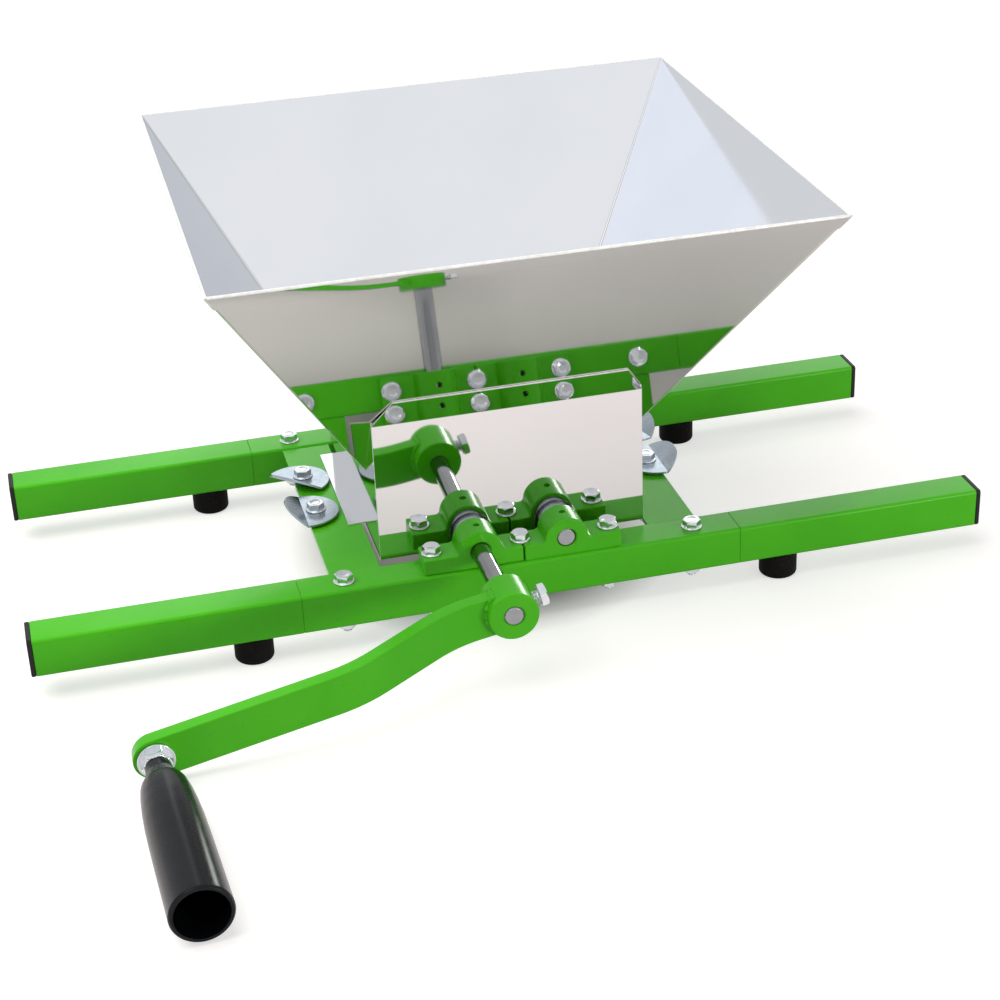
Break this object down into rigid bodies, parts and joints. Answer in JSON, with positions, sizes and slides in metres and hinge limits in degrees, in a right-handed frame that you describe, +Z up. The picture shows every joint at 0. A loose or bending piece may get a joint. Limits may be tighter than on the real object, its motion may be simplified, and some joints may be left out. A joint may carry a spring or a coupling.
{
  "type": "apple scratter",
  "caption": "Hand-cranked apple scratter: a bright flared hopper over geared shafts of hooked cutters, on a square tube frame with long arms and rubber feet.",
  "frame": {"origin": "middle of the part's box on the plane under the rubber feet", "axes": "+X along the arms to the right, +Y to the rear away from the crank, +Z up"},
  "size_m": [0.6, 0.5352, 0.261],
  "materials": {
    "green_paint": "gloss powder coat",
    "polished_steel": "mirror polished outside",
    "satin_steel": "satin rolled",
    "zinc_plate": "bright zinc plate",
    "shaft_steel": "ground",
    "gear_steel": "machined",
    "cutter_steel": "laser cut",
    "white_nylon": "satin",
    "black_plastic": "moulded",
    "black_rubber": "matt"
  },
  "bodies": {
    "frame": {"front_rail": "green_paint", "rear_rail": "green_paint", "base_plate_left": "green_paint", "base_plate_right": "green_paint", "arm_front_left": "green_paint", "arm_front_right": "green_paint", "arm_rear_left": "green_paint", "arm_rear_right": "green_paint", "arm_end_caps": "black_plastic", "rubber_feet": "black_rubber", "foot_screws": "zinc_plate", "arm_bolts": "zinc_plate", "arm_nuts": "zinc_plate", "block_front_left": "green_paint", "block_front_right": "green_paint", "block_rear_left": "green_paint", "block_rear_right": "green_paint", "block_bolts": "zinc_plate", "block_nuts": "zinc_plate", "clip_bolts": "zinc_plate", "clip_washers": "zinc_plate", "clip_nuts": "zinc_plate"},
    "crank_drive": {"drive_shaft": "shaft_steel", "drive_gear": "gear_steel", "drive_bushes": "white_nylon", "drive_spacers": "cutter_steel", "crank_arm": "green_paint", "crank_set_bolt": "zinc_plate", "grip_spindle": "zinc_plate", "grip_nut": "zinc_plate", "drive_cutter_1": "cutter_steel", "drive_cutter_2": "cutter_steel", "drive_cutter_3": "cutter_steel", "drive_cutter_4": "cutter_steel", "drive_cutter_5": "cutter_steel", "drive_cutter_6": "cutter_steel", "drive_cutter_7": "cutter_steel"},
    "driven_shaft_set": {"driven_shaft": "shaft_steel", "driven_gear": "gear_steel", "driven_bushes": "white_nylon", "driven_spacers": "cutter_steel", "driven_cutter_1": "cutter_steel", "driven_cutter_2": "cutter_steel", "driven_cutter_3": "cutter_steel", "driven_cutter_4": "cutter_steel", "driven_cutter_5": "cutter_steel", "driven_cutter_6": "cutter_steel"},
    "hopper": {"hopper_front_wall": "polished_steel", "hopper_rear_wall": "polished_steel", "hopper_left_side": "polished_steel", "hopper_right_side": "polished_steel", "hopper_front_panel": "polished_steel", "hopper_rear_panel": "polished_steel", "hopper_left_plate": "polished_steel", "hopper_right_plate": "polished_steel"},
    "grip_body": {"grip": "black_plastic"},
    "clip_left_front_body": {"clip_left_front": "satin_steel"},
    "clip_left_rear_body": {"clip_left_rear": "satin_steel"},
    "clip_right_front_body": {"clip_right_front": "satin_steel"},
    "clip_right_rear_body": {"clip_right_rear": "satin_steel"}
  },
  "joints": [
    {"name": "crank_spin", "type": "hinge", "parent": "frame", "child": "crank_drive", "pos_m": [-0.027, 0.09802, 0.053], "axis": [0, 1, 0], "continuous": true},
    {"name": "driven_spin", "type": "hinge", "parent": "frame", "child": "driven_shaft_set", "pos_m": [0.027, 0.09802, 0.053], "axis": [0, 1, 0], "continuous": true},
    {"name": "grip_spin", "type": "hinge", "parent": "crank_drive", "child": "grip_body", "pos_m": [-0.23902, -0.11867, 0.0173], "axis": [0.0516, -0.9986, 0.0087], "continuous": true},
    {"name": "hopper_lift", "type": "slide", "parent": "frame", "child": "hopper", "axis": [0, 0, 1], "range_m": [0, 0.25]},
    {"name": "clip_left_front_swivel", "type": "hinge", "parent": "frame", "child": "clip_left_front_body", "pos_m": [-0.1108, 0.09002, 0.043], "axis": [0, 0, 1], "continuous": true},
    {"name": "clip_left_rear_swivel", "type": "hinge", "parent": "frame", "child": "clip_left_rear_body", "pos_m": [-0.1108, 0.13952, 0.043], "axis": [0, 0, 1], "continuous": true},
    {"name": "clip_right_front_swivel", "type": "hinge", "parent": "frame", "child": "clip_right_front_body", "pos_m": [0.1108, 0.09002, 0.043], "axis": [0, 0, 1], "continuous": true},
    {"name": "clip_right_rear_swivel", "type": "hinge", "parent": "frame", "child": "clip_right_rear_body", "pos_m": [0.1108, 0.13952, 0.043], "axis": [0, 0, 1], "continuous": true}
  ],
  "couplings": [
    {"joint": "driven_spin", "follows": "crank_spin", "ratio": -1}
  ]
}
